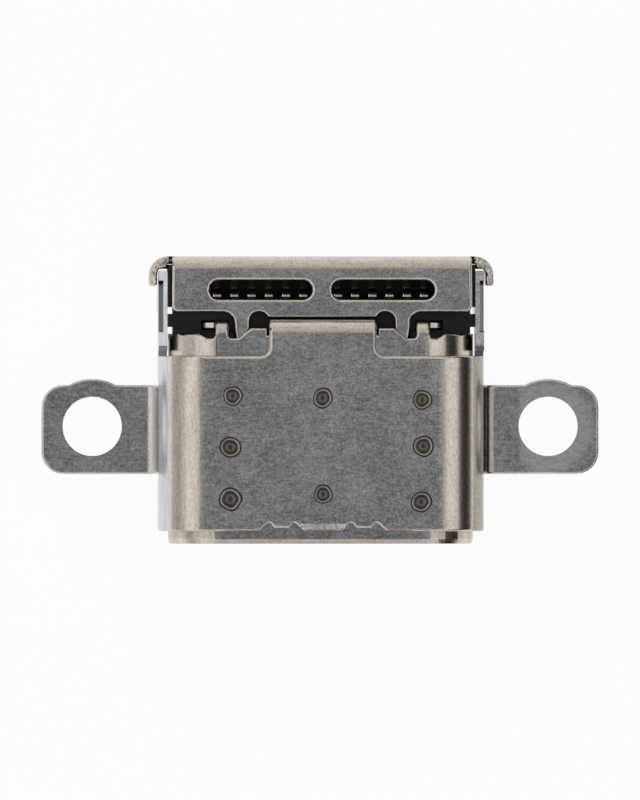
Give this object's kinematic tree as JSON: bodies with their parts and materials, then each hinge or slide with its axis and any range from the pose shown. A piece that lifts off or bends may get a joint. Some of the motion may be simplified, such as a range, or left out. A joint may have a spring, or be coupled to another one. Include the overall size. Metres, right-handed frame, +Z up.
{
  "type": "usb-c socket",
  "caption": "USB-C socket with a stadium-shaped steel mouth, a welded outer bracket with two screw ears, a folded rear cover with windows and a black tongue with gold contacts.",
  "frame": {"origin": "centre of the mouth opening, in the front plane of the mouth", "axes": "+X across the mouth towards the right ear, +Y into the socket, +Z up and away from the board"},
  "size_m": [0.0162, 0.0083, 0.0033],
  "materials": {
    "tube_steel": "nickel-plated stamped sheet, satin",
    "bracket_steel": "nickel-plated stamped sheet, fine grain, with ringed weld spots",
    "cover_steel": "nickel-plated stamped sheet, fine grain",
    "inner_steel": "plain stamped sheet",
    "black_plastic": "moulded, fine texture",
    "contact_gold": "gold-plated over nickel, smooth"
  },
  "bodies": {
    "root": {"inner_shell": "tube_steel", "outer_bracket": "bracket_steel", "rear_cover": "cover_steel", "housing": "black_plastic", "tongue_frame": "black_plastic", "upper_contact_block": "black_plastic", "lower_contact_block": "black_plastic", "mid_plate": "inner_steel", "upper_ground_pad": "inner_steel", "lower_ground_pad": "inner_steel", "contact_a1": "contact_gold", "contact_a2": "contact_gold", "contact_a3": "contact_gold", "contact_a4": "contact_gold", "contact_a5": "contact_gold", "contact_a6": "contact_gold", "contact_a7": "contact_gold", "contact_a8": "contact_gold", "contact_a9": "contact_gold", "contact_a10": "contact_gold", "contact_a11": "contact_gold", "contact_a12": "contact_gold", "contact_b1": "contact_gold", "contact_b2": "contact_gold", "contact_b3": "contact_gold", "contact_b4": "contact_gold", "contact_b5": "contact_gold", "contact_b6": "contact_gold", "contact_b7": "contact_gold", "contact_b8": "contact_gold", "contact_b9": "contact_gold", "contact_b10": "contact_gold", "contact_b11": "contact_gold", "contact_b12": "contact_gold"}
  },
  "joints": []
}
